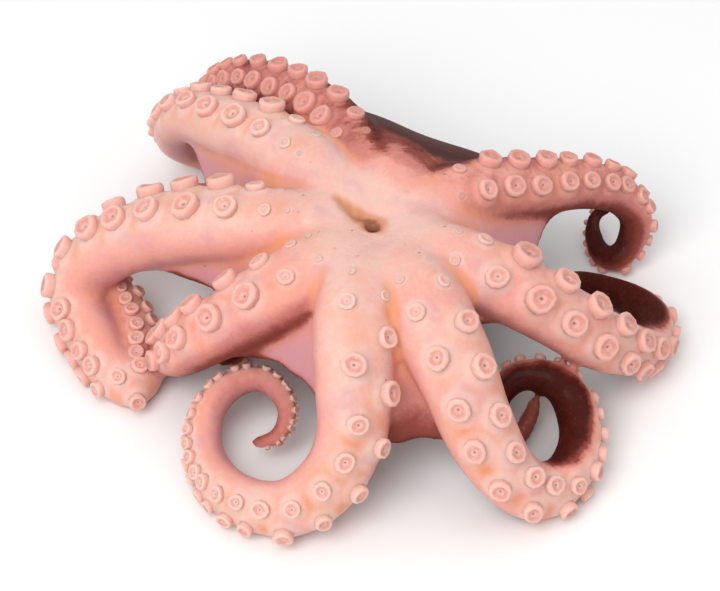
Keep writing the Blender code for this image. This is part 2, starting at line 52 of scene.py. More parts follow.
# arms
# route: waypoints from the mouth (mm); girth: widest half width (mm); fullness: above one keeps
# the width for longer; curl: what the end winds round; crest: where the suckers look on the
# straight part; upright: how far that holds along the arm before they look out of the curl.
# sucker: radius of its suckers, per half width; gap: from one sucker to the next, in radii.
# tone: how dark its pink is, 0 to 1 (on the two back arms partly painted shade); dark: how dark its back is;
# edge: where round the arm's outer half the dark back begins, in degrees above (+) or below (-) the widest line.
# shaded: the side (1 or -1) that is dark along its whole length, and from how many degrees round.
# flank shade: how much darker the flank is than the sucker side, painted shade on the side turned from the light;
# suckersFrom: mm from the mouth of the first sucker and of the first full-sized one.
arms = {
    "front": {
        "route": ((2.5, -3.5, 33), (0.5, -17, 36), (-1, -28, 33.5), (-1, -36.5, 27), (-1.5, -43, 19),
                  (-6, -48.5, 11.5), (-15, -51, 6.2), (-25.5, -46, 4.9), (-31, -36, 4.8),
                  (-31, -27.5, 7.8), (-27, -22.5, 11), (-21, -21, 12.5), (-16.5, -23.5, 11.5),
                  (-14.5, -28, 9.5), (-16.5, -32, 7), (-20.5, -32, 5)),
        "girth": 8.6, "fullness": 1.05, "curl": (-22, -30, 8), "crest": (0.28, -0.2, 1),
        "upright": ((0, 1), (0.12, 0.95), (0.25, 0.62), (0.35, 0.45), (0.5, 0.35), (0.7, 0.2), (1, 0.1)),
        "sucker": 0.29, "gap": 1.85, "tone": 0.02, "dark": 0.3, "edge": -80,
        "flankShade": 0.20, "suckersFrom": (11, 30),
    },
    "frontRight": {
        "route": ((5, -3.5, 33), (9.5, -15, 36), (14, -25, 33.5), (19, -34.5, 28), (23, -41, 20.5),
                  (28, -45.5, 12.5), (34.5, -46, 6.2), (41, -41.8, 5), (44.5, -32.5, 6),
                  (43, -24, 9), (38.5, -21, 12.5), (32, -20.5, 12.5), (27.5, -24, 9.5),
                  (27, -29, 6.5), (31, -30.5, 4.5), (34, -26.5, 5.5), (35.4, -23, 7.5)),
        "girth": 8.8, "fullness": 1.0, "curl": (35, -33, 9), "crest": (0, -0.1, 1),
        "upright": ((0, 1), (0.3, 0.9), (0.5, 0.5), (0.6, 0.0), (0.7, -0.35), (0.8, -0.2), (1, 0.1)),
        "sucker": 0.315, "gap": 1.65, "tone": 0.06, "dark": 1.0, "edge": 4,
        "flankShade": 0.36, "suckersFrom": (11, 30),
    },
    "right": {
        "route": ((6.5, -1, 33), (13, -7, 36), (21, -11.5, 35), (29.5, -13.5, 31.5),
                  (38.5, -15, 26), (47, -15, 18.5), (54.5, -11, 10.5), (59.5, -5, 6),
                  (61, 3, 4.6), (57.5, 9, 4.2), (51, 13.5, 3.6), (45, 16, 3), (39.5, 14, 2.6),
                  (37.5, 9, 2.4)),
        "girth": 7.9, "fullness": 1.35, "curl": (48, -2, 10), "crest": (0, -0.15, 1),
        "upright": ((0, 1), (0.3, 0.9), (0.45, 0.65), (0.55, 0.3), (0.65, -0.2), (0.8, -0.45), (1, -0.4)),
        "sucker": 0.385, "gap": 1.4, "tone": 0.10, "dark": 1.0, "edge": 4,
        "flankShade": 0.40, "suckersFrom": (11, 28),
    },
    "backRight": {
        "route": ((6.5, 4, 33), (12, 6, 35), (19.5, 9.5, 34.5), (28, 14.5, 31.5), (37.5, 19, 28),
                  (46.5, 24, 24), (54, 27, 19), (58.5, 27, 12.5), (58, 25.5, 6.5), (55, 22.8, 3.2),
                  (51.5, 25, 2.6), (50, 30, 3.5), (50.5, 34, 5.2), (53.5, 35.5, 6)),
        "girth": 6.9, "fullness": 1.4, "curl": (53, 25, 11), "crest": (0.0, -0.32, 1),
        "upright": ((0, 1), (0.4, 0.95), (0.55, 0.7), (0.65, 0.3), (0.75, 0), (1, 0)),
        "sucker": 0.35, "gap": 1.42, "tone": 0.34, "dark": 0.85, "edge": -68,
        "shaded": (-1, 50), "flankShade": 0.42, "suckersFrom": (11, 19),
    },
    "back": {
        "route": ((4.5, 5.5, 33), (2.5, 12, 35.5), (-1, 21.5, 36), (-5.2, 30.5, 35), (-10.9, 39.3, 33),
                  (-17.2, 46.5, 30.5), (-23.6, 53.2, 27), (-29.5, 58, 21), (-32, 60.5, 14),
                  (-29.5, 64.4, 6.2), (-24, 65.2, 3.2), (-19, 62.5, 2.4), (-19.5, 58.5, 2),
                  (-24, 58, 1.8)),
        "girth": 6.4, "fullness": 1.45, "curl": (-26, 59, 8), "crest": (0.08, -0.5, 1),
        "upright": ((0, 1), (0.5, 0.95), (0.62, 0.6), (0.7, 0.2), (1, 0)),
        "sucker": 0.375, "gap": 1.36, "tone": 0.54, "dark": 0.85, "edge": -60,
        "shaded": (1, 56), "flankShade": 0.36, "suckersFrom": (12, 25),
    },
    "backLeft": {
        "route": ((1, 5.5, 33), (-3.5, 9.5, 35.5), (-10.5, 17, 36), (-18.5, 25.5, 34.5),
                  (-27.5, 34, 31.5), (-35, 42, 27), (-39.5, 47.5, 19.5), (-40, 51, 12),
                  (-37, 54.5, 5.4), (-32, 53.5, 3.4), (-29.5, 49, 2.5), (-32, 45.5, 2.1), (-36, 46.5, 1.9)),
        "girth": 7.7, "fullness": 1.5, "curl": (-34, 47, 9), "crest": (0.1, 0, 1),
        "upright": ((0, 1), (0.5, 0.95), (0.6, 0.6), (0.7, 0.2), (1, 0)),
        "sucker": 0.345, "gap": 1.42, "tone": 0.0, "dark": 0.6, "edge": -85,
        "flankShade": 0.02, "suckersFrom": (12, 30),
    },
    "left": {
        "route": ((-0.5, 1, 33), (-6, 0, 35.5), (-14, 1, 35.5), (-23.5, 2.5, 33.5), (-33.5, 6, 30),
                  (-43.5, 9.5, 24.5), (-52.5, 11.5, 17.5), (-57.5, 10.5, 11), (-58.8, 5.5, 6.3),
                  (-55.2, -3, 5.2), (-51.5, -10.8, 4.5), (-47.2, -15.2, 3.6), (-45, -11, 3.8),
                  (-46.2, -2.5, 5), (-48, 4.5, 6.2), (-50.2, 9.5, 6.5), (-52.2, 8, 5.2), (-51.8, 3.5, 4)),
        "girth": 8.4, "fullness": 1.0, "curl": (-50.5, -1, 7), "crest": (0, 0.1, 1),
        "upright": ((0, 1), (0.35, 0.95), (0.45, 0.7), (0.52, 0.35), (0.7, 0.2), (0.78, 0.6), (0.9, 0.7), (1, 0.4)),
        "widths": ((0, 0.5), (0.1, 0.84), (0.19, 1.0), (0.35, 0.97), (0.5, 0.86), (0.62, 0.74), (0.72, 0.60),
                   (0.8, 0.55), (0.9, 0.46), (0.96, 0.36), (1, 0.22)),
        "sucker": 0.33, "gap": 1.4, "tone": 0.05, "dark": 0.5, "edge": -80,
        "flankShade": 0.18, "suckersFrom": (11, 26),
    },
    "frontLeft": {
        "route": ((0.5, -1.5, 33), (-4, -8.5, 35.5), (-10.5, -13.5, 34.5), (-17.5, -16.5, 31.5),
                  (-24.5, -17.5, 27), (-31.5, -17, 20.5), (-37, -12.5, 11.8), (-38.5, -6, 5.8),
                  (-35.5, -1, 3.7), (-30.5, 1, 2.9), (-26, -1, 2.4), (-25.5, -5, 2),
                  (-29, -6, 1.8)),
        "girth": 8.2, "fullness": 1.5, "curl": (-31, -7, 7), "crest": (-0.1, 0.1, 1),
        "upright": ((0, 1), (0.35, 0.9), (0.5, 0.6), (0.62, 0.3), (0.75, 0), (1, 0)),
        "sucker": 0.36, "gap": 1.4, "tone": 0.16, "dark": 0.6, "edge": -80,
        "flankShade": 0.48, "suckersFrom": (11, 28),
    },
}

armSet = {
    "step": 1.0 * mm,         # between sections
    "sides": 28,              # corners round a section
    "startShare": 0.50,       # half width at the mouth, of the widest
    "swellEnd": 0.19,         # share of the length where the arm is widest
    "tipShare": 0.17,         # half width at the tip, of the widest
    "oralHeight": 0.80,       # rise of the sucker side, per half width
    "backHeight": 0.96,       # depth of the back, per half width
    "lowestMiddle": 0.88,     # least height of the middle line, per half width
    "unevenWidth": 0.035,     # how far the width wanders
}


def smoothRun(points, perSpan):
    # a curve through all the points
    run = []
    count = len(points)
    for i in range(count - 1):
        a = points[max(i - 1, 0)]
        b = points[i]
        c = points[i + 1]
        d = points[min(i + 2, count - 1)]
        for k in range(perSpan):
            t = k / perSpan
            run.append(0.5 * (2 * b + (c - a) * t + (2 * a - 5 * b + 4 * c - d) * t ** 2
                              + (3 * b - a - 3 * c + d) * t ** 3))
    run.append(points[-1].copy())
    return run


def evenRun(points, step):
    # the same curve with its points the same distance apart
    marks = [0.0]
    for a, b in zip(points, points[1:]):
        marks.append(marks[-1] + (b - a).length)
    pieces = max(2, round(marks[-1] / step))
    run = []
    k = 0
    for i in range(pieces + 1):
        target = marks[-1] * i / pieces
        while k < len(points) - 2 and marks[k + 1] < target:
            k += 1
        span = marks[k + 1] - marks[k]
        share = (target - marks[k]) / span if span > 0 else 0.0
        run.append(points[k].lerp(points[k + 1], min(max(share, 0.0), 1.0)))
    return run, marks[-1]


def profile(pairs, t):
    for (t0, v0), (t1, v1) in zip(pairs, pairs[1:]):
        if t <= t1:
            return v0 + (v1 - v0) * (t - t0) / (t1 - t0)
    return pairs[-1][1]


def halfWidth(arm, t):
    girth = arm["girth"] * mm
    if "widths" in arm:
        return girth * profile(arm["widths"], t)
    if t < armSet["swellEnd"]:
        rise = math.sin(0.5 * math.pi * t / armSet["swellEnd"])
        return girth * (armSet["startShare"] + (1 - armSet["startShare"]) * rise)
    fall = ((t - armSet["swellEnd"]) / (1 - armSet["swellEnd"])) ** arm["fullness"]
    return girth * (1 - (1 - armSet["tipShare"]) * fall)


def armStations(arm):
    points, length = evenRun(smoothRun([spot(p) for p in arm["route"]], 10), armSet["step"])
    curl = spot(arm["curl"])
    crest = Vector(arm["crest"]).normalized()
    stations = []
    last = len(points) - 1
    for i, place in enumerate(points):
        t = i / last
        ahead = (points[min(i + 2, last)] - points[max(i - 2, 0)]).normalized()
        upright = profile(arm["upright"], t)
        outward = (place - curl).normalized()
        facing = crest * upright + outward * (1 - abs(upright))
        facing = (facing - ahead * facing.dot(ahead)).normalized()
        half = halfWidth(arm, t)
        middle = place.copy()
        middle.z = max(middle.z, half * armSet["lowestMiddle"])
        stations.append({"place": middle, "ahead": ahead, "facing": facing,
                         "side": ahead.cross(facing).normalized(),
                         "half": half, "t": t, "distance": length * t})
    return stations, length


def stationAt(stations, length, distance):
    return stations[min(len(stations) - 1, round(distance / length * (len(stations) - 1)))]


laidArms = {name: armStations(arm) for name, arm in arms.items()}
print("arms laid out, mm:", [round(length / mm) for stations, length in laidArms.values()])


# closed shapes for the skin
def section(place, side, facing, across, up, down, count):
    ring = []
    for i in range(count):
        angle = 2 * math.pi * i / count
        rise = math.sin(angle)
        ring.append(place + side * across * math.cos(angle) + facing * (up if rise > 0 else down) * rise)
    return ring


def addLoft(bm, rings):
    rows = [[bm.verts.new(p) for p in ring] for ring in rings]
    count = len(rows[0])
    for low, high in zip(rows, rows[1:]):
        for i in range(count):
            j = (i + 1) % count
            bm.faces.new((low[i], low[j], high[j], high[i]))
    bm.faces.new(list(reversed(rows[0])))
    bm.faces.new(rows[-1])


def addArm(bm, stations, seed):
    rings = []
    for s in stations:
        wander = noise.noise(Vector((s["distance"] * 90, seed * 7.3, 0)))
        half = s["half"] * (1 + armSet["unevenWidth"] * wander)
        rings.append(section(s["place"], s["side"], s["facing"], half, half * armSet["oralHeight"],
                             half * armSet["backHeight"], armSet["sides"]))
    tip = stations[-1]
    end = tip["half"]
    for reach, size in ((0.45, 0.85), (0.8, 0.5)):
        rings.append(section(tip["place"] + tip["ahead"] * end * reach, tip["side"], tip["facing"],
                             end * size, end * size * 0.85, end * size, armSet["sides"]))
    addLoft(bm, rings)


# head and mantle: middle line, half width and half height of the sections (mm)
body = {
    "rows": ((3.0, -1.0, 33.5, 7.0, 7.0),
             (3.0, 0.0, 28.0, 11.5, 10.5),
             (3.0, 2.0, 21.5, 12.5, 11.5),
             (3.5, 6.5, 14.8, 12.5, 12.2),
             (4.2, 13.0, 11.2, 14.0, 12.4),
             (5.2, 21.5, 11.0, 15.8, 12.5),
             (6.2, 30.0, 10.9, 15.2, 12.1),
             (7.0, 37.0, 10.6, 12.2, 10.0),
             (7.4, 41.5, 10.4, 6.5, 5.6)),
    "cushionPlace": (2.0, -1.0, 32.5),   # the low round cushion under the mouth
    "cushionHalf": (11.0, 10.5, 4.6),
}


def bodyLine(perSpan):
    middles = smoothRun([spot(row[:3]) for row in body["rows"]], perSpan)
    sizes = smoothRun([Vector((row[3], row[4], 0)) * mm for row in body["rows"]], perSpan)
    return middles, sizes


def addBody(bm):
    middles, sizes = bodyLine(6)
    rings = []
    last = len(middles) - 1
    for i, middle in enumerate(middles):
        ahead = (middles[min(i + 1, last)] - middles[max(i - 1, 0)]).normalized()
        up = ahead.cross(Vector((1, 0, 0))).normalized()
        rings.append(section(middle, up.cross(ahead).normalized(), up, sizes[i].x, sizes[i].y, sizes[i].y, 36))
    addLoft(bm, rings)
    made = bmesh.ops.create_uvsphere(bm, u_segments=36, v_segments=18, radius=1.0)
    centre = spot(body["cushionPlace"])
    across, over, high = (v * mm for v in body["cushionHalf"])
    for v in made["verts"]:
        v.co = centre + Vector((v.co.x * across, v.co.y * over, v.co.z * high))


# skin between neighbouring arms: reach along each arm (mm), depth of the scoop in its free edge,
# how far it hangs below the arms' middle lines (mm), how dark its upper side is and from which
# share of the way out; the front pair's dark is painted shade
webs = (
    # the front web's dark upper side is painted shade
    ("front", "frontRight", 54, 53, 0.12, 4.0, 0.8, 0.55),
    ("frontRight", "right", 37, 38, 0.22, 3.0, 0.1, 0.6),
    ("right", "backRight", 50, 45, 0.22, 3.0, 0.2, 0.3),
    ("backRight", "back", 48, 72, 0.05, -2.5, 1.0, 0.06),
    ("back", "backLeft", 46, 50, 0.10, 2.5, 0.3, 0.4),
    ("backLeft", "left", 62, 50, 0.24, 3.0, 0.15, 0.5),
    ("left", "frontLeft", 62, 49, 0.32, 3.0, 0.1, 0.5),
    ("frontLeft", "front", 46, 48, 0.20, 3.0, 0.15, 0.5),
)

webSet = {
    "thickness": 1.9 * mm,    # at the free edge
    "rootSwell": 2.8,         # how much thicker at the mouth, in edge thicknesses
    "rootDrop": -0.45,        # height below the middle lines at the mouth, per half width
    "edgeDrop": 0.55,         # and at the free edge
    "across": 20,
    "along": 26,
    "ruffle": 0.55 * mm,      # waves of the free edge
}


def webGrid(web):
    first, second, reachFirst, reachSecond, scoop, hang, darkness, darkFrom = web
    stationsA, lengthA = laidArms[first]
    stationsB, lengthB = laidArms[second]
    half = 0.5 * webSet["thickness"]
    grid = []
    for i in range(webSet["across"] + 1):
        w = i / webSet["across"]
        bow = math.sin(math.pi * w)
        row = []
        for k in range(webSet["along"] + 1):
            out = k / webSet["along"]
            share = out * (1 - scoop * bow)
            a = stationAt(stationsA, lengthA, reachFirst * mm * share)
            b = stationAt(stationsB, lengthB, reachSecond * mm * share)
            drop = webSet["rootDrop"] + (webSet["edgeDrop"] - webSet["rootDrop"]) * out
            point = (a["place"] - a["facing"] * a["half"] * drop).lerp(
                b["place"] - b["facing"] * b["half"] * drop, w)
            point.z -= hang * mm * bow * out
            point.z += webSet["ruffle"] * bow * out ** 3 * math.sin(w * 17 + reachFirst)
            point.z = max(point.z, 1.2 * half)
            row.append(point)
        grid.append(row)
    return grid


def addWeb(bm, web):
    grid = webGrid(web)
    half = 0.5 * webSet["thickness"]
    acrossLast = webSet["across"]
    alongLast = webSet["along"]
    top = []
    bottom = []
    for i, row in enumerate(grid):
        topRow = []
        bottomRow = []
        for k, point in enumerate(row):
            along = row[min(k + 1, alongLast)] - row[max(k - 1, 0)]
            over = grid[min(i + 1, acrossLast)][k] - grid[max(i - 1, 0)][k]
            normal = along.cross(over)
            if normal.z < 0:
                normal.negate()
            normal = normal.normalized() if normal.length > 0 else Vector((0, 0, 1))
            thick = half * (1 + webSet["rootSwell"] * (1 - k / alongLast))
            topRow.append(bm.verts.new(point + normal * thick))
            bottomRow.append(bm.verts.new(point - normal * thick))
        top.append(topRow)
        bottom.append(bottomRow)
    for i in range(acrossLast):
        for k in range(alongLast):
            bm.faces.new((top[i][k], top[i + 1][k], top[i + 1][k + 1], top[i][k + 1]))
            bm.faces.new((bottom[i][k], bottom[i][k + 1], bottom[i + 1][k + 1], bottom[i + 1][k]))
        bm.faces.new((top[i][0], bottom[i][0], bottom[i + 1][0], top[i + 1][0]))
        n = alongLast
        bm.faces.new((top[i][n], top[i + 1][n], bottom[i + 1][n], bottom[i][n]))
    for k in range(alongLast):
        m = acrossLast
        bm.faces.new((top[0][k], top[0][k + 1], bottom[0][k + 1], bottom[0][k]))
        bm.faces.new((top[m][k], bottom[m][k], bottom[m][k + 1], top[m][k + 1]))


# sucker places
suckers = {
    "startShare": 0.10,       # radius at the first one, of the full size
    "tipSwell": 1.20,         # how much larger they are for the arm's width at the tip
    "closeFrom": 0.40,        # share of the arm where they begin to crowd
    "closeGap": 1.12,         # distance from one to the next there, in radii
    "leastStep": 0.62 * mm,
    "rowOffset": 0.44,        # distance of a row from the middle line, per half width
    "lean": 22,               # degrees that a row leans out
    "sink": 0.86,             # where the base sits, of the height of the sucker side
    "firstSink": 0.30,        # how much deeper the smallest ones by the mouth sit, in radii
    "uneven": 0.08,           # how much the size varies
    "seed": 11,
}


def suckerPlaces():
    dice = random.Random(suckers["seed"])
    found = []
    for name, (stations, length) in laidArms.items():
        first, full = arms[name]["suckersFrom"]
        distance = first * mm
        row = 1
        while distance < length * 0.985:
            s = stationAt(stations, length, distance)
            grown = min(1.0, max(0.0, (distance / mm - first) / (full - first)))
            share = arms[name]["sucker"] * (suckers["startShare"] + (1 - suckers["startShare"]) * grown)
            share *= 1 + (suckers["tipSwell"] - 1) * s["t"]
            radius = s["half"] * share * (1 + suckers["uneven"] * (2 * dice.random() - 1))
            crowd = min(1.0, max(0.0, (s["t"] - suckers["closeFrom"]) / 0.2))
            gap = arms[name]["gap"] + (suckers["closeGap"] - arms[name]["gap"]) * crowd
            lean = math.radians(suckers["lean"] + 8 * (dice.random() - 0.5)) * row
            axis = (s["facing"] * math.cos(lean) + s["side"] * math.sin(lean)
                    + s["ahead"] * 0.16 * (dice.random() - 0.5)).normalized()
            offset = suckers["rowOffset"] * (1 + 0.12 * (dice.random() - 0.5))
            place = (s["place"] + s["side"] * s["half"] * offset * row
                     + s["facing"] * s["half"] * armSet["oralHeight"] * suckers["sink"]
                     - axis * radius * suckers["firstSink"] * (1 - grown))
            found.append({"place": place, "axis": axis, "radius": radius, "t": s["t"],
                          "grown": grown, "oval": 0.07 * (2 * dice.random() - 1),
                          "spin": dice.random() * 2 * math.pi})
            row = -row
            distance += max(radius * gap * (1 + 1.2 * (1 - grown)), suckers["leastStep"])
    return found


suckerSpots = suckerPlaces()
print("suckers:", len(suckerSpots))

# the skin
skin = {
    "voxel": 0.745 * mm,
    "softenPasses": 6,        # all over
    "blendPasses": 17,        # more of it, where arms, webs and body run together
    "middlePasses": 62,       # and more still round the mouth, where the arms run flat together
    "middleFrom": 22.0 * mm,
    "middleFull": 8.0 * mm,
    "padRise": 0.34,          # how far the skin stands up round a sucker, in sucker radii
    "padWidth": 1.36,
    "unevenHeight": 0.22 * mm,
    "unevenSize": 75.0,       # lumps per metre
}


def addPad(bm, s):
    # a low cone under each sucker, which softens into a swelling of the skin
    across = s["axis"].orthogonal().normalized()
    over = s["axis"].cross(across)
    rings = []
    for rise, size in ((-1.0, skin["padWidth"]), (-0.1, skin["padWidth"]), (skin["padRise"], 0.95)):
        ring = []
        for i in range(10):
            angle = 2 * math.pi * i / 10
            ring.append(s["place"] + s["axis"] * rise * s["radius"]
                        + (across * math.cos(angle) + over * math.sin(angle)) * s["radius"] * size)
        rings.append(ring)
    addLoft(bm, rings)


def roughSkin():
    bm = bmesh.new()
    for seed, (stations, length) in enumerate(laidArms.values()):
        addArm(bm, stations, seed)
    addBody(bm)
    for web in webs:
        addWeb(bm, web)
    for s in suckerSpots:
        if s["radius"] > skin["voxel"]:
            addPad(bm, s)
    bmesh.ops.recalc_face_normals(bm, faces=bm.faces[:])
    mesh = bpy.data.meshes.new("roughSkin")
    bm.to_mesh(mesh)
    bm.free()
    rough = bpy.data.objects.new("roughSkin", mesh)
    bpy.context.scene.collection.objects.link(rough)
    remesh = rough.modifiers.new("oneSkin", "REMESH")
    remesh.mode = "VOXEL"
    remesh.voxel_size = skin["voxel"]
    remesh.adaptivity = 0.0
    bpy.context.view_layer.update()
    depsgraph = bpy.context.evaluated_depsgraph_get()
    whole = bpy.data.meshes.new_from_object(rough.evaluated_get(depsgraph), depsgraph=depsgraph)
    bpy.data.objects.remove(rough, do_unlink=True)
    return whole


def keepOuter(mesh):
    # drop everything but the largest connected surface
    bm = bmesh.new()
    bm.from_mesh(mesh)
    waiting = set(bm.verts)
    groups = []
    while waiting:
        seed = waiting.pop()
        group = [seed]
        stack = [seed]
        while stack:
            for edge in stack.pop().link_edges:
                for other in edge.verts:
                    if other in waiting:
                        waiting.remove(other)
                        group.append(other)
                        stack.append(other)
        groups.append(group)
    groups.sort(key=len)
    for group in groups[:-1]:
        bmesh.ops.delete(bm, geom=group, context="VERTS")
    bm.to_mesh(mesh)
    bm.free()


def readPoints(mesh):
    flat = np.zeros(len(mesh.vertices) * 3, np.float32)
    mesh.vertices.foreach_get("co", flat)
    return flat.reshape(-1, 3).astype(np.float64)


def writePoints(mesh, points):
    mesh.vertices.foreach_set("co", points.astype(np.float32).ravel())
    mesh.update()


def readNormals(mesh):
    flat = np.zeros(len(mesh.vertices) * 3, np.float32)
    mesh.vertices.foreach_get("normal", flat)
    return flat.reshape(-1, 3).astype(np.float64)


def edgeEnds(mesh):
    flat = np.zeros(len(mesh.edges) * 2, np.int32)
    mesh.edges.foreach_get("vertices", flat)
    return flat.reshape(-1, 2)


def neighbourMean(values, ends):
    # mean of the neighbours' values, for a column or for places
    count = len(values)
    total = np.zeros_like(values)
    degree = np.bincount(ends.ravel(), minlength=count).astype(np.float64)
    columns = values.reshape(count, -1)
    out = total.reshape(count, -1)
    for c in range(columns.shape[1]):
        out[:, c] = (np.bincount(ends[:, 0], columns[ends[:, 1], c], count)
                     + np.bincount(ends[:, 1], columns[ends[:, 0], c], count)) / np.maximum(degree, 1)
    return total


def soften(points, ends, passes, weight):
    for k in range(passes):
        points = points + (neighbourMean(points, ends) - points) * weight
    return points


def blendStep(low, high, values):
    share = np.clip((values - low) / (high - low), 0, 1)
    return share * share * (3 - 2 * share)


def unevenness(points, size, shift=0.0):
    return np.array([noise.noise(Vector(p * size) + Vector((shift, 0, 0))) for p in points])


# where each point of the skin lies on an arm, a web or the body
def stationTable():
    table = {"place": [], "ahead": [], "facing": [], "side": [], "half": [], "t": [], "distance": [], "arm": []}
    for number, (stations, length) in enumerate(laidArms.values()):
        for s in stations:
            for key in ("place", "ahead", "facing", "side"):
                table[key].append(s[key][:])
            for key in ("half", "t", "distance"):
                table[key].append(s[key])
            table["arm"].append(number)
    return {key: np.array(value) for key, value in table.items()}


stationsTable = stationTable()


def nearestOnArms(points):
    # for each point: its station, how far out it is (1 on the arm's skin), and its place round the arm
    near = np.zeros(len(points), np.int64)
    place = stationsTable["place"]
    half = stationsTable["half"]
    for start in range(0, len(points), 4000):
        block = points[start:start + 4000]
        apart = ((block ** 2).sum(1)[:, None] + (place ** 2).sum(1)[None, :] - 2 * block @ place.T)
        near[start:start + 4000] = np.argmin(apart / half[None, :] ** 2, axis=1)
    last = len(half) - 1
    for k in range(3):  # slide to the section the point lies in
        lag = ((points - place[near]) * stationsTable["ahead"][near]).sum(1)
        moved = np.clip(near + np.round(lag / armSet["step"] * 0.7).astype(np.int64), 0, last)
        same = stationsTable["arm"][moved] == stationsTable["arm"][near]
        near = np.where(same, moved, near)
    apart = points - place[near]
    across = (apart * stationsTable["side"][near]).sum(1) / half[near]
    rise = (apart * stationsTable["facing"][near]).sum(1) / half[near]
    rise = np.where(rise > 0, rise / armSet["oralHeight"], rise / armSet["backHeight"])
    out = np.sqrt(across ** 2 + rise ** 2)
    return near, out, across, rise


# the mouth: a small dark opening with a low lip, at the foot of a shallow groove
mouth = {
    "place": (2.6, -3.8, 37.0),        # mm
    "grooveEnd": (-6.0, 4.6, 37.0),    # mm, the shallow end of the groove
    "grooveDepth": 1.7 * mm,
    "grooveWide": 3.3 * mm,            # half width by the mouth
    "grooveNarrow": 1.4 * mm,
    "grooveRough": 0.5 * mm,           # lumps in it
    "holeDepth": 2.6 * mm,
    "holeAcross": 0.95 * mm,           # half width of the opening
    "holeAlong": 1.2 * mm,
    "holeApart": 2.4 * mm,             # a second, smaller fold lies this far behind it
    "lip": 0.5 * mm,
    "lipRadius": 2.3 * mm,
    "fineWithin": 12.0 * mm,           # the skin has smaller faces this close
}


def flatOffset(points, place):
    return points[:, 0] - place.x, points[:, 1] - place.y


def mouthGroove(points):
    # how deep in the groove each point lies, 0 to 1
    start = spot(mouth["place"])
    end = spot(mouth["grooveEnd"])
    run = Vector((end.x - start.x, end.y - start.y, 0))
    x, y = flatOffset(points, start)
    along = (x * run.x + y * run.y) / run.length_squared
    aside = (x * run.y - y * run.x) / run.length
    held = np.clip(along, 0, 1)
    width = mouth["grooveWide"] + (mouth["grooveNarrow"] - mouth["grooveWide"]) * held
    beyond = (along - held) * run.length
    fade = (1 - held) ** 0.4
    return fade * np.exp(-(aside ** 2 + beyond ** 2) / width ** 2) * (points[:, 2] > start.z - 12 * mm)


def mouthHole(points):
    x, y = flatOffset(points, spot(mouth["place"]))
    near = np.exp(-(x / mouth["holeAcross"]) ** 2 - (y / mouth["holeAlong"]) ** 2)
    second = np.exp(-((x + 0.3 * mm) / (mouth["holeAcross"] * 1.3)) ** 2
                    - ((y - mouth["holeApart"]) / (mouth["holeAlong"] * 0.55)) ** 2)
    return (near + 0.45 * second) * (points[:, 2] > spot(mouth["place"]).z - 12 * mm)


def refineMouth(mesh):
    middle = spot(mouth["place"])
    bm = bmesh.new()
    bm.from_mesh(mesh)
    close = [e for e in bm.edges if all((v.co - middle).length < mouth["fineWithin"] for v in e.verts)]
    bmesh.ops.subdivide_edges(bm, edges=close, cuts=1, smooth=0.6, use_grid_fill=True)
    bmesh.ops.triangulate(bm, faces=[f for f in bm.faces if len(f.verts) > 4])
    bm.to_mesh(mesh)
    bm.free()


def pressMouth(mesh):
    refineMouth(mesh)
    points = readPoints(mesh)
    x, y = flatOffset(points, spot(mouth["place"]))
    around = np.hypot(x, y) / mouth["lipRadius"]
    above = points[:, 2] > spot(mouth["place"]).z - 12 * mm
    lip = np.exp(-((around - 1) / 0.45) ** 2) * above
    points[:, 2] += lip * mouth["lip"]
    groove = mouthGroove(points)
    lumps = unevenness(points, 620.0) * mouth["grooveRough"] * groove
    points[:, 2] -= groove ** 1.5 * mouth["grooveDepth"] + mouthHole(points) * mouth["holeDepth"] + lumps
    writePoints(mesh, points)


def makeSkin():
    mesh = roughSkin()
    keepOuter(mesh)
    ends = edgeEnds(mesh)
    points = soften(readPoints(mesh), ends, skin["softenPasses"], 0.5)
    near, out, across, rise = nearestOnArms(points)
    loose = np.clip((out - 1.02) / 0.12, 0, 1)  # 1 away from the arms' own skin
    for k in range(6):
        loose = np.maximum(loose, neighbourMean(loose, ends) * 0.96)
    points = soften(points, ends, skin["blendPasses"], 0.5 * loose[:, None])
    x, y = flatOffset(points, spot(mouth["place"]))
    middle = blendStep(skin["middleFrom"], skin["middleFull"], np.hypot(x, y)) * (points[:, 2] > 24 * mm)
    points = soften(points, ends, skin["middlePasses"], 0.5 * middle[:, None])
    writePoints(mesh, points)
    pressMouth(mesh)
    points = readPoints(mesh)
    points += readNormals(mesh) * (unevenness(points, skin["unevenSize"]) * skin["unevenHeight"])[:, None]
    points[:, 2] = np.maximum(points[:, 2], 0.0)
    writePoints(mesh, points)
    print("skin:", len(mesh.vertices), "points,", len(mesh.polygons), "faces")
    return mesh


skinMesh = makeSkin()


def addColumn(mesh, name, values):
    made = mesh.attributes.new(name, "FLOAT", "POINT")
    made.data.foreach_set("value", values.astype(np.float32))


paint = {
    "end": 0.34,              # how much darker its last third is
    "stemEdge": -80,          # degrees round the arm where the back begins on its first half
    "edgeBlur": 24,           # degrees over which it darkens
    "underWeb": 0.95,
    "webPink": 0.38,
    "tipFade": -0.35,         # a dark back turns paler at the very end
}


def webTable():
    # places on the webs with how dark each is and how far out it lies
    places, darkness, reach = [], [], []
    for web in webs:
        for row in webGrid(web):
            for k, point in enumerate(row):
                places.append(point)
                out = k / webSet["along"]
                darkness.append(web[6] * min(1.0, max(0.0, (out - web[7]) / 0.42)))
                reach.append(out)
    return places, np.array(darkness), np.array(reach)


def nearestOnWebs(points):
    places, darkness, reach = webTable()
    tree = kdtree.KDTree(len(places))
    for i, place in enumerate(places):
        tree.insert(place, i)
    tree.balance()
    found = [tree.find(p)[1:] for p in points]
    index = np.array([f[0] for f in found])
    apart = np.array([f[1] for f in found])
    return apart, darkness[index], reach[index]


def besideSuckers(points):
    # distance to the nearest sucker's middle, in its radii
    tree = kdtree.KDTree(len(suckerSpots))
    for i, s in enumerate(suckerSpots):
        tree.insert(s["place"], i)
    tree.balance()
    return np.array([min((found[2] / suckerSpots[found[1]]["radius"] for found in tree.find_n(p, 3)), default=9)
                     for p in points])


